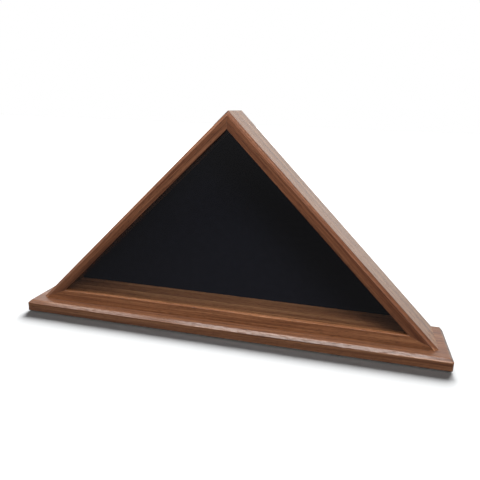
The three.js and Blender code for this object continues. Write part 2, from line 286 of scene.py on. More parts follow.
# ---------------------------------------------------------------- pieces
def piece(node, finish, mesh, body, material, grain=None, place=None):
    """Shows a mesh in place of a CAD node.

    Its grain attribute holds each vertex's place in the log that it was cut from, with X along the grain.
    The place matrix then carries the mesh to the row frame.
    """
    name = f"{node}_{finish}"
    mesh.name = name
    if grain is not None:
        attribute = mesh.attributes.new("grain", "FLOAT_VECTOR", "POINT")
        for vertex, value in zip(mesh.vertices, attribute.data):
            value.vector = grain @ vertex.co
    if place is not None:
        mesh.transform(place)
    mesh.materials.clear()
    mesh.materials.append(material)
    mesh.shade_smooth()
    mesh.set_sharp_from_angle(angle=SHARP_ANGLE)
    made = bpy.data.objects.new(name, mesh)
    bpy.context.scene.collection.objects.link(made)
    made.modifiers.new("face_weighted_normals", "WEIGHTED_NORMAL").keep_sharp = True
    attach(made, body)
    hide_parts(node)
    return made


# ---------------------------------------------------------------- node trees
class Look:
    """A material with a Principled shader, and short ways to add nodes in front of it."""

    def __init__(self, name, **settings):
        self.material = bpy.data.materials.new(name)
        self.material.use_nodes = True
        self.tree = self.material.node_tree
        self.shader = self.tree.nodes["Principled BSDF"]
        self.output = self.tree.nodes["Material Output"]
        for socket, value in settings.items():
            self.shader.inputs[socket.replace("_", " ")].default_value = value

    def add(self, kind, inputs=(), **settings):
        """A new node; an input is either a value or another node's socket."""
        node = self.tree.nodes.new("ShaderNode" + kind)
        for key, value in settings.items():
            setattr(node, key, value)
        for key, value in dict(inputs).items():
            if isinstance(value, bpy.types.NodeSocket):
                self.tree.links.new(value, node.inputs[key])
            else:
                node.inputs[key].default_value = value
        return node

    def math(self, operation, a, b=0.0, clamp=False):
        return self.add("Math", {0: a, 1: b}, operation=operation, use_clamp=clamp).outputs[0]

    def times(self, value, factor, clamp=False):
        return self.math("MULTIPLY", value, factor, clamp)

    def vector(self, operation, a, b=(0, 0, 0), output=0):
        return self.add("VectorMath", {0: a, 1: b}, operation=operation).outputs[output]

    def grain(self):
        """The place in the log, from the mesh."""
        return self.add("Attribute", attribute_name="grain").outputs["Vector"]

    def place(self):
        """The place on the piece."""
        return self.add("TexCoord").outputs["Object"]

    def noise(self, vector, scale, detail=2.0, roughness=0.5, output="Fac"):
        """Noise whose grain is 1 / scale metres along each axis."""
        stretched = self.vector("MULTIPLY", vector, scale)
        inputs = {"Vector": stretched, "Scale": 1.0, "Detail": detail, "Roughness": roughness}
        return self.add("TexNoise", inputs).outputs[output]

    def ramp(self, value, stops):
        """A colour ramp through (position, colour or grey) stops."""
        node = self.add("ValToRGB", {"Fac": value})
        points = node.color_ramp.elements
        while len(points) < len(stops):
            points.new(0.5)
        for point, (position, colour) in zip(points, stops):
            point.position = position
            point.color = (*colour, 1) if isinstance(colour, tuple) else (colour, colour, colour, 1)
        return node.outputs["Color"]

    def mix(self, factor, a, b, blend="MIX"):
        """Colour b over colour a, through a Mix node's colour sockets: inputs 6 and 7, output 2."""
        node = self.add("Mix", data_type="RGBA", blend_type=blend)
        for key, value in ((0, factor), (6, a), (7, b)):
            if isinstance(value, bpy.types.NodeSocket):
                self.tree.links.new(value, node.inputs[key])
            else:
                node.inputs[key].default_value = (*value, 1) if isinstance(value, tuple) else value
        return node.outputs[2]

    def drive(self, **sockets):
        """Links node sockets into the shader."""
        for socket, value in sockets.items():
            self.tree.links.new(value, self.shader.inputs[socket.replace("_", " ")])

    def bump(self, height, distance, strength=1.0, coat=False):
        node = self.add("Bump", {"Height": height, "Distance": distance, "Strength": strength})
        self.drive(Normal=node.outputs["Normal"])
        if coat:
            self.drive(Coat_Normal=node.outputs["Normal"])

    def edge(self, radius):
        """1 on sharp edges, 0 on faces."""
        rounded = self.add("Bevel", {"Radius": radius}, samples=4).outputs[0]
        true = self.add("NewGeometry").outputs["Normal"]
        agreement = self.vector("DOT_PRODUCT", rounded, true, "Value")
        return self.math("SUBTRACT", 1.0, agreement, clamp=True)


# ---------------------------------------------------------------- materials
def walnut(name, light=1.0, gold=1.0, satin=0.0):
    """Satin-lacquered walnut: growth bands that wander along the plank, fine fibres, dark open pores and a
    painted arris highlight.
    """
    look = Look(name, IOR=1.5, Coat_Weight=1.0, Coat_Roughness=0.16, Coat_IOR=1.5, Sheen_Weight=satin)
    look.shader.inputs["Specular IOR Level"].default_value = 0.15

    # Scales a walnut colour by light and gold: partly each plank's own tone, partly painted light for how
    # brightly the member is lit.
    def stain_and_painted_light(red, green, blue):
        return light * red, light * gold * green, light * blue

    rings_per_metre, wander, bands_per_ring = 260, 0.022, 0.45
    middle_grey = (0.5, 0.5, 0.5)
    latewood_stain = stain_and_painted_light(0.066, 0.024, 0.0105)
    mineral_stain = stain_and_painted_light(0.058, 0.021, 0.009)
    # The first colour is a painted highlight for the arrises; the second is the real black of the open pores.
    painted_arris_highlight, pore_black = (0.32, 0.20, 0.13), (0.022, 0.010, 0.007)

    grain = look.grain()
    sway = look.noise(grain, (1.6, 7, 7), detail=2, output="Color")
    centred = look.vector("SUBTRACT", sway, middle_grey)
    inside = look.vector("ADD", grain, look.vector("MULTIPLY", centred, (0, wander, wander)))
    from_heart = look.vector("LENGTH", look.vector("MULTIPLY", inside, (0, 1, 1)), output="Value")
    ring = look.times(from_heart, rings_per_metre)
    ring_vector = look.add("CombineXYZ", {0: look.times(ring, bands_per_ring)}).outputs[0]
    band = look.add("TexNoise", {"Vector": ring_vector, "Scale": 1.0, "Detail": 3.0}).outputs["Fac"]
    latewood = look.ramp(look.math("FRACT", ring), [(0.0, 0.0), (0.55, 0.1), (0.86, 1.0), (1.0, 0.0)])
    streak = look.noise(inside, (4, 270, 270), detail=4, roughness=0.65)
    vein = look.noise(inside, (2.2, 120, 120), detail=3, roughness=0.6)
    mineral = look.ramp(vein, [(0.56, 0.0), (0.66, 1.0)])
    fibre = look.noise(grain, (22, 900, 900), detail=3, roughness=0.6)
    pore = look.math("ADD", look.noise(grain, (95, 2600, 2600), detail=1), look.times(latewood, 0.05))
    pores = look.ramp(pore, [(0.60, 0.0), (0.68, 1.0)])

    tone = look.math("ADD", look.times(band, 0.45), look.times(streak, 0.55))
    colour = look.ramp(tone, [
        (0.36, stain_and_painted_light(0.070, 0.025, 0.0105)), (0.45, stain_and_painted_light(0.122, 0.048, 0.021)),
        (0.54, stain_and_painted_light(0.170, 0.074, 0.034)), (0.64, stain_and_painted_light(0.240, 0.116, 0.058)),
    ])
    colour = look.mix(look.times(latewood, 0.36), colour, latewood_stain)
    colour = look.mix(look.times(mineral, 0.6), colour, mineral_stain)
    colour = look.mix(look.times(fibre, 0.5), colour, middle_grey, "OVERLAY")
    # Lighter arrises, broken up by the fibres: a painted highlight along every sharp edge of the walnut.
    lightened_edge = look.times(look.edge(0.9 * MM), look.times(fibre, 0.9), clamp=True)
    colour = look.mix(lightened_edge, colour, painted_arris_highlight)
    colour = look.mix(look.times(pores, 0.75), colour, pore_black)
    rough = look.math("ADD", 0.36, look.times(fibre, 0.16))
    rough = look.math("ADD", rough, look.times(pores, 0.2), clamp=True)
    look.drive(Base_Color=colour, Roughness=rough)
    height = look.math("SUBTRACT", look.times(fibre, 0.35), pores)
    height = look.math("SUBTRACT", height, look.times(mineral, 0.5))
    look.bump(height, 0.06 * MM, 0.6, coat=True)
    return look.material


def birch():
    """Pale close-grained spline stock, left unfinished."""
    look = Look("birch", IOR=1.45)
    grain = look.grain()
    figure = look.noise(grain, (12, 260, 260), detail=4, roughness=0.6)
    fibre = look.noise(grain, (60, 2400, 2400), detail=2)
    colour = look.ramp(figure, [
        (0.3, (0.42, 0.29, 0.16)), (0.55, (0.56, 0.41, 0.25)), (0.75, (0.64, 0.50, 0.33)),
    ])
    colour = look.mix(look.times(fibre, 0.35), colour, (0.36, 0.24, 0.13))
    look.drive(Base_Color=colour, Roughness=look.math("ADD", 0.6, look.times(fibre, 0.2)))
    look.bump(fibre, 0.05 * MM, 0.5)
    return look.material


def felt():
    """Black felt with a faint blue cast: matted short fibres, thin and thick patches, loose hairs."""
    look = Look("felt", Roughness=0.95, IOR=1.4, Sheen_Weight=0.04, Sheen_Roughness=0.5)
    look.shader.inputs["Specular IOR Level"].default_value = 0.05
    look.shader.inputs["Sheen Tint"].default_value = (0.50, 0.56, 0.70, 1)
    place = look.place()
    curl = look.noise(place, (700, 700, 700), output="Color")
    bent = look.vector("ADD", place, look.vector("MULTIPLY", curl, (2 * MM, 2 * MM, 2 * MM)))
    across = look.noise(bent, (350, 2000, 2600), detail=3, roughness=0.7)
    along = look.noise(bent, (2600, 2000, 350), detail=3, roughness=0.7)
    hairs = look.math("MAXIMUM", across, along)
    mat = look.noise(place, (90, 90, 90), detail=4, roughness=0.6)
    cloud = look.noise(place, (9, 9, 9), detail=3)
    depth = look.math("ADD", look.times(hairs, 0.6), look.times(mat, 0.4))
    colour = look.ramp(depth, [
        (0.38, (0.0041, 0.0043, 0.0076)), (0.6, (0.0074, 0.0077, 0.0126)), (0.8, (0.0130, 0.0135, 0.0212)),
    ])
    colour = look.mix(look.times(cloud, 0.35), colour, (0.0063, 0.0065, 0.0112))
    look.drive(Base_Color=colour)
    look.bump(depth, 0.12 * MM, 0.25)
    return look.material


def glass():
    """Clear picture glass as a thin sheet: its front mirrors a little, more at a slant; nothing bends."""
    look = Look("glass", Metallic=1.0)
    place = look.place()
    smear = look.noise(place, (7, 7, 7), detail=4, roughness=0.6)
    dust = look.ramp(look.noise(place, (900, 900, 900), detail=1), [(0.72, 0.0), (0.80, 1.0)])
    sheen = look.ramp(smear, [(0.3, (0.90, 0.90, 1.0)), (0.7, (0.96, 0.96, 1.0))])
    rough = look.math("ADD", look.times(smear, 0.05), look.times(dust, 0.15))
    look.drive(Base_Color=sheen, Roughness=rough)
    look.bump(smear, 0.05 * MM, 0.2)
    tint = look.ramp(smear, [(0.3, (0.975, 0.99, 0.982)), (0.7, (0.985, 0.995, 0.99))])
    through = look.add("BsdfTransparent", {"Color": tint}).outputs[0]
    front = look.math("SUBTRACT", 1.0, look.add("NewGeometry").outputs["Backfacing"])
    mirrored = look.times(look.add("Fresnel", {"IOR": 1.75}).outputs[0], front)
    mixed = look.add("MixShader", {0: mirrored, 1: through, 2: look.shader.outputs[0]}).outputs[0]
    look.tree.links.new(mixed, look.output.inputs["Surface"])
    return look.material


def fibreboard():
    """Brown hardboard: pressed fibres with pale and dark flecks, a smooth face."""
    look = Look("fibreboard", IOR=1.45)
    place = look.place()
    pulp = look.noise(place, (180, 180, 180), detail=5, roughness=0.75)
    strands = look.noise(place, (160, 900, 1500), detail=2, roughness=0.6)
    cloud = look.noise(place, (14, 14, 14), detail=3)
    colour = look.ramp(pulp, [
        (0.3, (0.034, 0.019, 0.011)), (0.5, (0.095, 0.055, 0.032)), (0.7, (0.19, 0.12, 0.073)),
    ])
    colour = look.mix(look.times(strands, 0.4), colour, (0.10, 0.062, 0.038))
    colour = look.mix(look.times(cloud, 0.5), colour, (0.045, 0.026, 0.016))
    lightened_edge = look.times(look.edge(0.6 * MM), 0.8, clamp=True)
    colour = look.mix(lightened_edge, colour, (0.20, 0.14, 0.09))
    look.drive(Base_Color=colour, Roughness=look.math("ADD", 0.48, look.times(pulp, 0.3)))
    look.bump(look.math("ADD", pulp, strands), 0.08 * MM, 0.5)
    return look.material


def metal(name, bright, dull, roughness, brushed):
    """Stamped metal: fine brush lines, handling marks, and edges rubbed bright."""
    look = Look(name, Metallic=1.0)
    place = look.place()
    lines = look.noise(place, brushed, detail=3, roughness=0.6)
    tarnish = look.noise(place, (260, 260, 260), detail=4, roughness=0.6)
    marks = look.ramp(look.noise(place, (1500, 1500, 1500), detail=2), [(0.62, 0.0), (0.72, 1.0)])
    colour = look.mix(look.ramp(tarnish, [(0.35, 0.0), (0.68, 1.0)]), bright, dull)
    colour = look.mix(look.times(marks, 0.3), colour, tuple(0.6 * c for c in dull))
    lightened_edge = look.times(look.edge(0.25 * MM), 1.5, clamp=True)
    colour = look.mix(lightened_edge, colour, tuple(min(1.0, 1.12 * c) for c in bright))
    rough = look.math("ADD", roughness, look.times(lines, 0.14))
    rough = look.math("ADD", rough, look.times(tarnish, 0.10), clamp=True)
    look.drive(Base_Color=colour, Roughness=rough)
    look.bump(lines, 0.02 * MM, 0.4)
    return look.material


def rubber():
    """Moulded black rubber: a fine matt skin with a little dust."""
    look = Look("rubber", IOR=1.5)
    place = look.place()
    skin = look.noise(place, (1800, 1800, 1800), detail=2)
    dust = look.noise(place, (300, 300, 300), detail=4, roughness=0.7)
    colour = look.ramp(dust, [(0.35, (0.010, 0.010, 0.011)), (0.7, (0.028, 0.027, 0.027))])
    look.drive(Base_Color=colour, Roughness=look.math("ADD", 0.62, look.times(skin, 0.25)))
    look.bump(skin, 0.05 * MM, 0.5)
    return look.material


# Lit and shaded copies of one walnut: light scales each member's colour, partly for its plank's own tone and
# partly as painted light for how brightly that member is lit.
RAIL_WALNUT = walnut("walnut_rails", light=1.06, gold=0.93)
BOARD_WALNUT = walnut("walnut_boards", light=1.6, gold=1.1)
BOTTOM_RAIL_WALNUT = walnut("walnut_bottom_rail", light=1.66)
FLOOR_WALNUT = walnut("walnut_bottom_board", light=1.36)
BASE_WALNUT = walnut("walnut_base", light=0.98, gold=0.98, satin=0.04)
BIRCH = birch()
FELT = felt()
GLASS = glass()
FIBREBOARD = fibreboard()
BRASS = metal("brass", (0.80, 0.58, 0.26), (0.50, 0.33, 0.12), roughness=0.20, brushed=(300, 300, 4200))
STEEL = metal("steel", (0.62, 0.63, 0.64), (0.38, 0.38, 0.38), roughness=0.24, brushed=(900, 900, 5200))
RUBBER = rubber()


# ---------------------------------------------------------------- members of the triangle
def side_matrix(label):
    """From a member's own frame, with X along it, Y back and Z out of the triangle, to the row frame."""
    middle, turn = {
        "left": ((-HALF_WIDTH / 2, BOX_BOTTOM + HALF_WIDTH / 2), -math.pi / 4),
        "right": ((HALF_WIDTH / 2, BOX_BOTTOM + HALF_WIDTH / 2), math.pi / 4),
        "bottom": ((0, BOX_BOTTOM), math.pi),
    }[label]
    return Matrix.Translation((middle[0], 0, middle[1])) @ Matrix.Rotation(turn, 4, "Y")


SLOPE = HALF_WIDTH * math.sqrt(2)
MEMBERS = {  # length, half angle of the mitre at its start and at its end
    "left": (SLOPE, CORNER_HALF_ANGLE, APEX_HALF_ANGLE),
    "right": (SLOPE, APEX_HALF_ANGLE, CORNER_HALF_ANGLE),
    "bottom": (2 * HALF_WIDTH, CORNER_HALF_ANGLE, CORNER_HALF_ANGLE),
}


def mitred(label, outline):
    """A member with an outline of (depth, height out of the triangle) points, cut by its two mitres."""
    length, start, end = MEMBERS[label]

    def cut_back(height, half_angle):
        return length / 2 + height / math.tan(half_angle) - GLUE_LINE / 2 / math.sin(half_angle)

    first = [Vector((-cut_back(z, start), y, z)) for y, z in outline]
    last = [Vector((cut_back(z, end), y, z)) for y, z in outline]
    return stacked([first, last])


# Planks are sawn at steps along the log, at up to four places beside its heart and three above it
LOG_STEP = 1.7
LOG_BESIDE, LOG_BESIDE_STEP = 0.050, 0.013
LOG_ABOVE, LOG_ABOVE_STEP = 0.085, 0.017
RAIL_TILT, BOARD_TILT, BEAD_TILT, BASE_TILT = 0.5, -0.3, 0.9, 0.12
BASE_PLANK = 13


def plank(index, tilt):
    """Where in its log a plank was sawn: how far from the heart, and how its face lies to the rings."""
    beside = LOG_BESIDE + LOG_BESIDE_STEP * (index % 4)
    above = LOG_ABOVE - LOG_ABOVE_STEP * (index % 3)
    return Matrix.Translation((LOG_STEP * index, beside, above)) @ Matrix.Rotation(tilt, 4, "X")


def cove():
    """The hollow from the front of a moulded rail back to its side, in (depth, height)."""
    chord = math.hypot(COVE_DEPTH, COVE_WIDTH)
    pull = 2 * COVE_HOLLOW / chord
    middle = (COVE_DEPTH / 2 + pull * COVE_WIDTH, -COVE_WIDTH / 2 - pull * COVE_DEPTH)
    return [(FRONT + y, z) for y, z in bezier([(0, -COVE_WIDTH), middle, (COVE_DEPTH, 0)], COVE_STEPS)]


def moulded_outline():
    """A sloping rail's section, in (depth, height out of the triangle)."""
    corners = [(SEAM, 0), (SEAM, -FACE_WIDTH), (FRONT, -FACE_WIDTH), *cove()]
    cove_radii = [COVE_ARRIS_RADIUS, *[0] * (COVE_STEPS - 1), COVE_ARRIS_RADIUS]
    return eased(corners, [FINE_EASE, FINE_EASE, WOOD_EASE, *cove_radii], steps=3)


def square_outline():
    """The bottom rail's section."""
    corners = [(SEAM, 0), (SEAM, -FACE_WIDTH), (FRONT, -FACE_WIDTH), (FRONT, 0)]
    return eased(corners, [FINE_EASE, FINE_EASE, 2 * WOOD_EASE, FINE_EASE], steps=4)


def board_outline():
    """A box board's section, with the rebate for the back panel."""
    ledge = PANEL_LO.y - (FELT_HI.y - FELT_LO.y) - REBATE_GAP
    front = BOARD_LO.y
    corners = [
        (front, -BOARD_THICKNESS), (ledge, -BOARD_THICKNESS), (ledge, -PANEL_EDGE_WIDTH),
        (BOX_BACK, -PANEL_EDGE_WIDTH), (BOX_BACK, 0), (front, 0),
    ]
    return eased(corners, [FINE_EASE, WOOD_EASE, 0, FINE_EASE, WOOD_EASE, FINE_EASE], steps=3)


def bead_outline():
    """A glazing bead's section, rounded where it shows."""
    outer, inner = -BOARD_THICKNESS - BEAD_GLUE_GAP, -(BEAD_HI.z - BOX_BOTTOM)
    corners = [(BEAD_LO.y, inner), (BEAD_LO.y, outer), (BEAD_HI.y, outer), (BEAD_HI.y, inner)]
    return eased(corners, [BEAD_EASE, BEAD_EASE, BEAD_EASE, BEAD_ROUND], steps=6)


# ---------------------------------------------------------------- screws and what they bore
BUTTON_SCREW = {"head": 2.9 * MM, "height": 1.3 * MM, "shank": 1.4 * MM, "length": 13 * MM, "tip": 3 * MM}
BASE_SCREW = {"head": 4.2 * MM, "height": 2.6 * MM, "shank": 2 * MM, "length": 27.5 * MM, "tip": 5 * MM}
SCREW_SIDES = 28
BORE_SIDES = 24
THREAD_PITCH = 1.1 * MM
THREAD_RINGS = 6  # rings of points per turn of the thread
THREAD_CORE = 0.72  # the core's share of the shank's radius
SMOOTH_SHARE = 0.25  # of the length has no thread, below the head
POINT_SHARE = 0.12  # of the radius is left at the point
RIM_EASE, ROUND_RIM_EASE = 0.15 * MM, 0.1 * MM
DOME_SHARE, DOME_STEPS = 0.8, 9  # of a round head's height
SLOT_WIDTH, SLOT_DEPTH = 0.8 * MM, 0.7 * MM
CUTTER_ROOM = 2 * MM  # how far a cutter stands out of what it cuts
BORE_GAP = 0.3 * MM
BASE_SCREW_TURN = 0.7  # from one screw's slot to the next, so that no two lie alike
BUTTON_SCREW_TURN, FIRST_BUTTON_SCREW_TURN = 1.1, 0.6

BUTTONS = ["left_lower", "left_upper", "right_upper", "right_lower", "bottom_right", "bottom_left"]
BASE_SCREWS = ["left", "mid_left", "mid_right", "right"]


def screw_mesh(spec, countersunk):
    """A wood screw along Y: its slotted head's top at y = 0, its point down, and a helical thread."""
    radius, height, shank = spec["head"], spec["height"], spec["shank"]
    core, bottom, taper = THREAD_CORE * shank, -spec["length"], spec["tip"] - spec["length"]
    if countersunk:
        head = [(0, 0), (radius - RIM_EASE, 0), (radius, -RIM_EASE), (radius, -2 * RIM_EASE)]
    else:
        dome_height = DOME_SHARE * height
        head = []
        for step in range(DOME_STEPS):
            angle = QUARTER_TURN * step / DOME_STEPS
            head.append((radius * math.sin(angle), -dome_height * (1 - math.cos(angle))))
        head += [(radius, -dome_height), (radius, -height + ROUND_RIM_EASE)]
        head.append((radius - ROUND_RIM_EASE, -height))
    head.append((shank, -height))
    smooth_end = -height - SMOOTH_SHARE * spec["length"]
    steps = round((smooth_end - bottom) / (THREAD_PITCH / THREAD_RINGS))
    body = [(shank, smooth_end + 0.2 * MM)]
    for step in range(steps):
        y = smooth_end + (bottom - smooth_end) * step / steps
        body.append((shank * min(1, max(POINT_SHARE, (y - bottom) / (taper - bottom))), y))

    def threaded(ring_radius, y, share):
        if y > smooth_end:
            return ring_radius
        phase = (y / THREAD_PITCH - share) % 1
        ridge = max(0.0, 1 - abs(phase - 0.5) * 4)  # half of the pitch wide
        return ring_radius * (core + (shank - core) * ridge) / shank

    mesh = turned([*head, *body, (0, bottom)], SCREW_SIDES, threaded)
    slot = block((2 * radius + CUTTER_ROOM, 2 * SLOT_DEPTH, SLOT_WIDTH))
    return without(mesh, [slot])


def bore(spec, grow, depth):
    """The straight hole of a screw's shank, from y = 0 down."""
    radius = spec["shank"] + grow
    profile = [(0, CUTTER_ROOM), (radius, CUTTER_ROOM), (radius, -depth), (0, -depth - radius / 2)]
    return turned(profile, BORE_SIDES)


def button_pivot(label):
    """The middle of the top of a turn button's screw."""
    lo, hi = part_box(f"turn_button_screw_{label}")
    return Vector(((lo.x + hi.x) / 2, hi.y, (lo.z + hi.z) / 2))


def button_heading(label):
    """The way a turn button points at rest, as its angle about Y from +X."""
    lo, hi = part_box(f"turn_button_{label}")
    pivot = button_pivot(label)
    reach = Vector(((lo.x + hi.x) / 2 - pivot.x, 0, (lo.z + hi.z) / 2 - pivot.z))
    return math.atan2(-reach.z, reach.x)


def base_screw_matrix(label):
    """From a screw's own frame to its place under the base, pointing up."""
    lo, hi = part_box(f"base_screw_{label}")
    head = Matrix.Translation(((lo.x + hi.x) / 2, (lo.y + hi.y) / 2, lo.z))
    return head @ Matrix.Rotation(-QUARTER_TURN, 4, "X")


SPLINES = {  # the angle of the mitre that each one crosses, and the boards that it joins
    "apex": (-QUARTER_TURN, ("left", "right")),
    "left": (CORNER_HALF_ANGLE, ("left", "bottom")),
    "right": (math.pi - CORNER_HALF_ANGLE, ("right", "bottom")),
}
SPLINE_SIZE = Vector((3 * MM, 57.6 * MM, 10 * MM))
SPLINE_EASE = 0.15 * MM
SPLINE_STOCK_STEP = 0.3  # between the splines in the strip that they were cut from


def spline_matrix(label):
    """From a spline's own frame, centred on it, to the row frame."""
    lo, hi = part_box(f"corner_spline_{label}")
    return Matrix.Translation((lo + hi) / 2) @ Matrix.Rotation(-SPLINES[label][0], 4, "Y")


def board_cutters(side):
    """What is cut out of a board, in the row frame: spline slots, pilot holes and screw holes."""
    slot_size = SPLINE_SIZE + Vector((BORE_GAP,) * 3) * 2
    joined = [label for label, (_, sides) in SPLINES.items() if side in sides]
    cutters = [moved(block(slot_size), spline_matrix(label)) for label in joined]
    for label in BUTTONS:
        if label.startswith(side):
            pilot = bore(BUTTON_SCREW, BORE_GAP, BUTTON_SCREW["length"] + BORE_GAP)
            cutters.append(moved(pilot, Matrix.Translation(button_pivot(label))))
    if side == "bottom":
        hole = bore(BASE_SCREW, BORE_GAP, BASE_SCREW["length"] + BORE_GAP)
        cutters += [moved(hole, base_screw_matrix(s)) for s in BASE_SCREWS]
    return cutters


# ---------------------------------------------------------------- the box and its face frame
BOARD_NODES = {"left": "side_board_left", "right": "side_board_right", "bottom": "bottom_board"}
MOULDING_OVERRUN = 20 * MM  # past both ends of a sloping rail


def bottom_rail_mesh():
    """The bottom rail, its tips cut by the moulding that runs on from the sloping rails."""
    rail = moved(mitred("bottom", square_outline()), side_matrix("bottom"))
    outside = [(FRONT - MM, -COVE_WIDTH), *cove(), (FRONT + COVE_DEPTH, MM), (FRONT - MM, MM)]
    reach = SLOPE / 2 + MOULDING_OVERRUN
    for side in ("left", "right"):
        strip = stacked([[Vector((x, y, z)) for y, z in outside] for x in (-reach, reach)])
        rail = without(rail, [moved(strip, side_matrix(side))])
    return rail


def add_members():
    """A face rail, a board and a glazing bead on each side of the triangle, all from planks of their own."""
    for index, side in enumerate(("left", "right", "bottom")):
        place = side_matrix(side)
        back = place.inverted()
        if side == "bottom":
            rail = bottom_rail_mesh()
            rail_wood, board_wood = BOTTOM_RAIL_WALNUT, FLOOR_WALNUT
        else:
            rail = moved(mitred(side, moulded_outline()), place)
            rail_wood, board_wood = RAIL_WALNUT, BOARD_WALNUT
        grain = plank(index, RAIL_TILT) @ back
        piece(f"face_rail_{side}", "moulded", rail, "case", rail_wood, grain)
        board = without(moved(mitred(side, board_outline()), place), board_cutters(side))
        grain = plank(index + 3, BOARD_TILT) @ back
        piece(BOARD_NODES[side], "rebated", board, "case", board_wood, grain)
        bead = mitred(side, bead_outline())
        grain = plank(index + 6, BEAD_TILT)
        piece(f"glazing_bead_{side}", "rounded", bead, "case", BOARD_WALNUT, grain, place)


def add_splines():
    for index, label in enumerate(SPLINES):
        strip = Matrix.Translation((SPLINE_STOCK_STEP * index, 0, 0)) @ Matrix.Rotation(-QUARTER_TURN, 4, "Z")
        mesh = block(SPLINE_SIZE, SPLINE_EASE)
        place = spline_matrix(label)
        piece(f"corner_spline_{label}", "feather", mesh, "case", BIRCH, strip, place)


# ---------------------------------------------------------------- base
def base_plan(inset, height, back_inset):
    """The base's outline in plan at a height above its underside, its front corners rounded."""
    front = max(BASE_CORNER_RADIUS - inset, BASE_LEAST_RADIUS)
    lo_x, hi_x = BASE_LO.x + inset, BASE_HI.x - inset
    lo_y, hi_y = BASE_LO.y + inset, BASE_HI.y - back_inset
    corners = [(lo_x, lo_y), (hi_x, lo_y), (hi_x, hi_y), (lo_x, hi_y)]
    outline = eased(corners, [front, front, BASE_BACK_RADIUS, BASE_BACK_RADIUS], steps=6)
    return [Vector((x, y, BASE_LO.z + height)) for x, y in outline]


def base_mesh():
    """Sections from the eased underside up to the chamfer, which runs along the front and the ends."""
    thickness = BASE_HI.z - BASE_LO.z
    sections = [base_plan(inset, height, inset) for inset, height in quarter_round(BASE_UNDER_EASE, 4)]
    below, arris = (0, thickness / 2), (0, thickness - BASE_CHAMFER)
    shoulder, inside = (BASE_CHAMFER, thickness), (2 * BASE_CHAMFER, thickness)
    edge_radii = [0, BASE_CHAMFER_ARRIS, BASE_CHAMFER_ROUND, 0]
    edge = eased([below, arris, shoulder, inside], edge_radii, steps=5)
    for inset, height in edge[1:-1]:
        below_top = thickness - height
        back = WOOD_EASE - math.sqrt(max(0.0, WOOD_EASE**2 - max(0.0, WOOD_EASE - below_top) ** 2))
        sections.append(base_plan(inset, height, back))
    return stacked(sections)


def add_base():
    """The base with its four countersunk screws; the recesses and holes for them go right through it."""
    head, shank = BASE_SCREW["head"] + BORE_GAP, BASE_SCREW["shank"] + BORE_GAP
    straight, through = 0.6 * MM, 30 * MM
    profile = [(0, CUTTER_ROOM), (head, CUTTER_ROOM), (head, -straight),
               (shank, -BASE_SCREW["height"] - BORE_GAP), (shank, -through), (0, -through)]
    recess = turned(profile, SCREW_SIDES)
    mesh = without(base_mesh(), [moved(recess, base_screw_matrix(s)) for s in BASE_SCREWS])
    piece("base_board", "chamfered", mesh, "case", BASE_WALNUT, plank(BASE_PLANK, BASE_TILT))
    for index, label in enumerate(BASE_SCREWS):
        turn = Matrix.Rotation(BASE_SCREW_TURN * index, 4, "Y")
        mesh = moved(screw_mesh(BASE_SCREW, True), base_screw_matrix(label) @ turn)
        piece(f"base_screw_{label}", "threaded", mesh, "case", STEEL)


FOOT_GROOVE = (0.55, 0.58, 0.64, 0.67)  # where the groove's walls are, in shares of the foot's radius
FOOT_GROOVE_DEPTH = 0.12 * MM
FOOT_ROUND, FOOT_EASE = 0.8 * MM, 0.2 * MM
FOOT_SIDES = 48


def add_feet():
    """Round feet with a shallow ring groove underneath."""
    for row in ("front", "back"):
        for side in ("left", "right"):
            lo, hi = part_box(f"foot_{row}_{side}")
            radius, height = (hi.x - lo.x) / 2, hi.z - lo.z
            depths = (0, FOOT_GROOVE_DEPTH, FOOT_GROOVE_DEPTH, 0)
            profile = [(0, 0), *((radius * share, depth) for share, depth in zip(FOOT_GROOVE, depths))]
            profile += [(radius - inset, up) for inset, up in quarter_round(FOOT_ROUND, 5)]
            profile += [(radius, height - FOOT_EASE), (radius - FOOT_EASE, height), (0, height)]
            centre = Matrix.Translation(((lo.x + hi.x) / 2, (lo.y + hi.y) / 2, lo.z))
            mesh = moved(turned(profile, FOOT_SIDES), centre @ Matrix.Rotation(QUARTER_TURN, 4, "X"))
            piece(f"foot_{row}_{side}", "moulded", mesh, "case", RUBBER)


# ---------------------------------------------------------------- glass, felt and back panel
def plate(inset, front, back, ease, corner):
    """A triangular sheet between two depths, its edges eased."""
    half_way, half_pull = 0.35 * ease, 0.3 * ease
    levels = [(front, ease), (front + half_way, half_pull), (front + ease, 0),
              (back - ease, 0), (back - half_way, half_pull), (back, ease)]
    return stacked([[Vector((x, y, z)) for x, z in triangle(inset + pull, corner)] for y, pull in levels])


def add_sheets():
    """The pane, the back panel, and the felt stretched over the panel's front."""
    glass_inset = GLASS_LO.z - BOX_BOTTOM
    panel_inset = PANEL_LO.z - BOX_BOTTOM
    pane = plate(glass_inset, GLASS_LO.y, GLASS_HI.y, ease=0.2 * MM, corner=0.6 * MM)
    piece("glass_pane", "sheet", pane, "case", GLASS)
    board = plate(panel_inset, PANEL_LO.y, PANEL_HI.y, ease=0.4 * MM, corner=0.8 * MM)
    piece("back_panel", "hardboard", board, "back", FIBREBOARD)
    cloth = plate(panel_inset, FELT_LO.y, FELT_HI.y, ease=0.3 * MM, corner=1.2 * MM)
    lining = piece("back_panel_felt", "cloth", cloth, "back", FELT)


# ---------------------------------------------------------------- turn buttons
BUTTON_WIDTH, BUTTON_REACH, BUTTON_TIP = 7 * MM, 22 * MM, 2.6 * MM
BUTTON_THICKNESS, BUTTON_ROUND = 1.5 * MM, 0.35 * MM
BUTTON_HOLE, HOLE_EASE_BELOW, HOLE_EASE_ABOVE = 1.7 * MM, 0.15 * MM, 0.2 * MM
RIB_HEIGHT, RIB_HALF_WIDTH, RIB_PLACE = 0.45 * MM, 1.5 * MM, 0.78


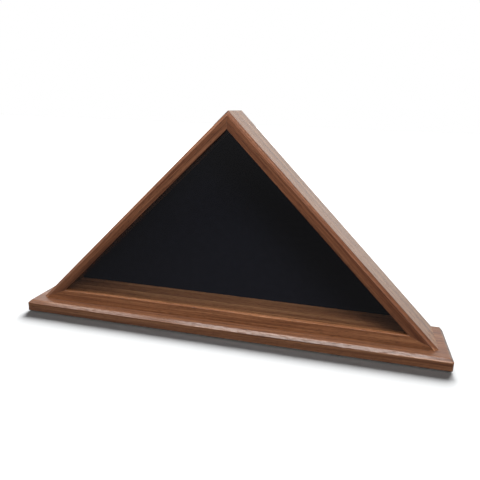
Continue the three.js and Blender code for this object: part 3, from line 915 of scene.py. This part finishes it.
def button_mesh():
    """A stamped button that pivots at its origin and points along +X, from y = 0 out to its thickness."""
    tip_centre = BUTTON_REACH - BUTTON_TIP
    taper = math.asin((BUTTON_WIDTH / 2 - BUTTON_TIP) / tip_centre)

    def arc(centre_x, radius, start, sweep, steps):
        angles = [start + sweep * step / steps for step in range(steps + 1)]
        return [Vector((centre_x + radius * math.cos(a), radius * math.sin(a))) for a in angles]

    def outline(pull):
        """The edge of the button in plan, moved inward."""
        round_end = arc(0, BUTTON_WIDTH / 2 - pull, QUARTER_TURN - taper, math.pi + 2 * taper, 16)
        return round_end + arc(tip_centre, BUTTON_TIP - pull, taper - QUARTER_TURN, math.pi - 2 * taper, 12)

    rim = outline(0)

    def hole(radius):
        return [p.normalized() * radius for p in rim]

    def thumb_rib(point):
        return RIB_HEIGHT * math.exp(-((point.x - RIB_PLACE * BUTTON_REACH) / RIB_HALF_WIDTH) ** 2)

    def ring(points, y, ribbed=False):
        return [Vector((p.x, y + (thumb_rib(p) if ribbed else 0), p.y)) for p in points]

    rings = [ring(hole(BUTTON_HOLE), HOLE_EASE_BELOW), ring(hole(BUTTON_HOLE + HOLE_EASE_BELOW), 0)]
    edge = quarter_round(BUTTON_ROUND, 3)
    rings += [ring(outline(inset), up) for inset, up in edge]
    rings += [ring(outline(inset), BUTTON_THICKNESS - up, True) for inset, up in reversed(edge)]
    top_rim, top_hole = outline(BUTTON_ROUND), hole(BUTTON_HOLE + HOLE_EASE_ABOVE)
    for share in (0.15, 0.3, 0.45, 0.6, 0.75, 0.9, 1):
        rings.append(ring([a.lerp(b, share) for a, b in zip(top_rim, top_hole)], BUTTON_THICKNESS, True))
    rings.append(ring(hole(BUTTON_HOLE), BUTTON_THICKNESS - HOLE_EASE_ABOVE))
    return ringed(rings)


def add_buttons():
    shape = button_mesh()
    screw = screw_mesh(BUTTON_SCREW, False)
    for index, label in enumerate(BUTTONS):
        pivot = button_pivot(label)
        lo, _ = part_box(f"turn_button_{label}")
        heading = Matrix.Rotation(button_heading(label), 4, "Y")
        button = moved(shape, Matrix.Translation((pivot.x, lo.y, pivot.z)) @ heading)
        piece(f"turn_button_{label}", "stamped", button, f"button_{label}", BRASS)
        slot_turn = Matrix.Rotation(FIRST_BUTTON_SCREW_TURN + BUTTON_SCREW_TURN * index, 4, "Y")
        turned_screw = moved(screw, Matrix.Translation(pivot) @ slot_turn)
        piece(f"turn_button_screw_{label}", "threaded", turned_screw, "case", BRASS)


# ---------------------------------------------------------------- stage
FLOOR_REACH = 8  # half its side


def add_floor():
    """A pale floor that nothing mirrors and that throws no light back on the case."""
    look = Look("pale_floor", IOR=1.4, Roughness=0.8)
    look.shader.inputs["Specular IOR Level"].default_value = 0.1
    mottle = look.noise(look.place(), (30, 30, 30), detail=3)
    look.drive(Base_Color=look.ramp(mottle, [(0.3, (0.785, 0.80, 0.805)), (0.7, (0.80, 0.815, 0.82))]))
    signs = ((-1, -1), (1, -1), (1, 1), (-1, 1))
    mesh = to_mesh([(FLOOR_REACH * x, FLOOR_REACH * y, 0) for x, y in signs], [[0, 1, 2, 3]])
    mesh.materials.append(look.material)
    floor = bpy.data.objects.new("floor", mesh)
    bpy.context.scene.collection.objects.link(floor)
    floor.visible_glossy = False
    floor.visible_diffuse = False
    floor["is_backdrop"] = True
    return floor


def aimed(light, place, target):
    """Links a light to the scene, held at a place and pointed at a target."""
    light.location = place
    light.rotation_mode = "QUATERNION"
    light.rotation_quaternion = (Vector(target) - Vector(place)).to_track_quat("-Z", "Y")
    bpy.context.scene.collection.objects.link(light)
    return light


def softbox(name, place, target, size, power, mirrored=True):
    """A soft light on the case alone: the floor has its own."""
    data = bpy.data.lights.new(name, "AREA")
    data.shape = "RECTANGLE"
    data.size, data.size_y = size
    data.energy = power
    light = aimed(bpy.data.objects.new(name, data), place, target)
    light.light_linking.receiver_collection = NOT_THE_FLOOR
    light.visible_glossy = mirrored


def floor_light(name, azimuth, elevation, spread, strength):
    """Even light on the floor alone, which only the base and its feet shade; 0 azimuth is from behind."""
    data = bpy.data.lights.new(name, "SUN")
    data.energy = strength
    data.angle = math.radians(spread)
    around, up = math.radians(azimuth), math.radians(elevation)
    place = Vector((math.sin(around) * math.cos(up), math.cos(around) * math.cos(up), math.sin(up)))
    light = aimed(bpy.data.objects.new(name, data), place, (0, 0, 0))
    light.light_linking.receiver_collection = THE_FLOOR
    light.light_linking.blocker_collection = BASE_AND_FEET


def group(name, members, exclude=False):
    """A collection for light linking, which no view layer needs."""
    made = bpy.data.collections.new(name)
    for member in members:
        made.objects.link(member)
    if exclude:
        for entry in made.collection_objects:
            entry.light_linking.link_state = "EXCLUDE"
    return made


def add_world():
    """A white studio to the camera; to reflections, a bright backdrop behind and a dim room in front."""
    world = bpy.data.worlds.new("studio")
    bpy.context.scene.world = world
    world.use_nodes = True
    tree = world.node_tree
    link = tree.links.new
    direction = tree.nodes.new("ShaderNodeSeparateXYZ")
    link(tree.nodes.new("ShaderNodeTexCoord").outputs["Generated"], direction.inputs[0])

    def fade(axis, start, end, low, high):
        """Brightness that goes from low to high between two heights or depths of the direction."""
        node = tree.nodes.new("ShaderNodeMapRange")
        node.interpolation_type = "SMOOTHSTEP"
        link(direction.outputs[axis], node.inputs["Value"])
        for socket, value in (("From Min", start), ("From Max", end), ("To Min", low), ("To Max", high)):
            node.inputs[socket].default_value = value
        return node.outputs[0]

    def choose(ray, value, otherwise):
        """One value for one kind of ray, and another for the rest."""
        node = tree.nodes.new("ShaderNodeMix")
        link(path.outputs[ray], node.inputs[0])
        link(otherwise, node.inputs[2])
        node.inputs[3].default_value = value
        return node.outputs[0]

    reflected = tree.nodes.new("ShaderNodeMath")
    reflected.operation = "MULTIPLY"
    link(fade("Y", start=0.4, end=0.9, low=0.15, high=0.66), reflected.inputs[0])
    link(fade("Z", start=-0.25, end=0.02, low=0.55, high=1.0), reflected.inputs[1])
    path = tree.nodes.new("ShaderNodeLightPath")
    diffuse = choose("Is Diffuse Ray", 0.05, otherwise=reflected.outputs[0])
    seen = choose("Is Camera Ray", 1.0, otherwise=diffuse)
    background = tree.nodes["Background"]
    background.inputs["Color"].default_value = (1, 1, 1, 1)
    link(seen, background.inputs["Strength"])


CAMERA_PLACE = Vector((0.18412, -0.70489, 0.35774))
CAMERA_YAW, CAMERA_PITCH, CAMERA_ROLL = 13.376, 15.948, 1.819  # degrees to the left, down and anticlockwise
CAMERA_LENS, CAMERA_SENSOR = 35.18, 36  # millimetres
CAMERA_NEAREST = 0.01


def add_camera():
    """A normal lens held above the case and to its right, turned slightly in its own plane."""
    yaw, pitch, roll = math.radians(CAMERA_YAW), math.radians(CAMERA_PITCH), math.radians(CAMERA_ROLL)
    forward = Vector((-math.sin(yaw) * math.cos(pitch), math.cos(yaw) * math.cos(pitch), -math.sin(pitch)))
    right = Vector((math.cos(yaw), math.sin(yaw), 0))
    up = right.cross(forward)
    tilted_right = right * math.cos(roll) + up * math.sin(roll)
    tilted_up = up * math.cos(roll) - right * math.sin(roll)
    camera = bpy.data.objects.new("camera", bpy.data.cameras.new("camera"))
    camera.data.sensor_width = CAMERA_SENSOR
    camera.data.lens = CAMERA_LENS
    axes = Matrix((tilted_right, tilted_up, -forward)).transposed()
    camera.matrix_world = Matrix.Translation(CAMERA_PLACE) @ axes.to_4x4()
    camera.data.clip_start = CAMERA_NEAREST
    bpy.context.scene.collection.objects.link(camera)
    bpy.context.scene.camera = camera


def add_lights():
    """The lacquer mirrors the two keys and the back fill; the other soft boxes only brighten the case."""
    softbox("key", place=(0.0, -0.95, 1.75), target=(0.0, 0, 0.1), size=(1.5, 0.34), power=13)
    softbox("key_left", place=(-1.25, -0.95, 1.75), target=(-0.2, 0, 0.1), size=(1.0, 0.34), power=5.5)
    softbox("overhead", place=(0.55, -0.42, 0.95), target=(0.10, -0.05, 0.15), size=(0.8, 0.5), power=7.5,
            mirrored=False)
    softbox("front_fill", place=(1.0, -1.3, 1.15), target=(0.10, 0, 0.1), size=(0.9, 0.9), power=21,
            mirrored=False)
    softbox("right_side", place=(2.1, 0.15, 0.8), target=(0.15, 0, 0.15), size=(0.9, 0.5), power=10,
            mirrored=False)
    softbox("top_left", place=(-0.9, -0.12, 1.3), target=(0.15, -0.05, 0.02), size=(0.6, 0.4), power=25,
            mirrored=False)
    softbox("back_fill", place=(-0.9, 1.7, 1.9), target=(0, 0, 0.1), size=(1.4, 0.8), power=30)
    softbox("back_low", place=(0.5, 2.1, 0.8), target=(0, 0, 0.15), size=(1.2, 0.8), power=16,
            mirrored=False)
    for name, azimuth in (("floor_left", -12), ("floor_right", 12)):
        floor_light(name, azimuth, elevation=25.5, spread=35, strength=5.45)
    floor_light("floor_front", 180, elevation=9, spread=10, strength=1.0)


# ---------------------------------------------------------------- build
add_camera()
add_members()
add_splines()
add_base()
add_feet()
add_sheets()
add_buttons()
THE_FLOOR = group("the_floor", [add_floor()])
NOT_THE_FLOOR = group("not_the_floor", THE_FLOOR.objects, exclude=True)
GROUNDED = [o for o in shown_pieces() if o.name.startswith(("base_board", "foot_"))]
BASE_AND_FEET = group("base_and_feet", GROUNDED)
add_world()
add_lights()
bpy.context.scene.view_settings.view_transform = "Standard"
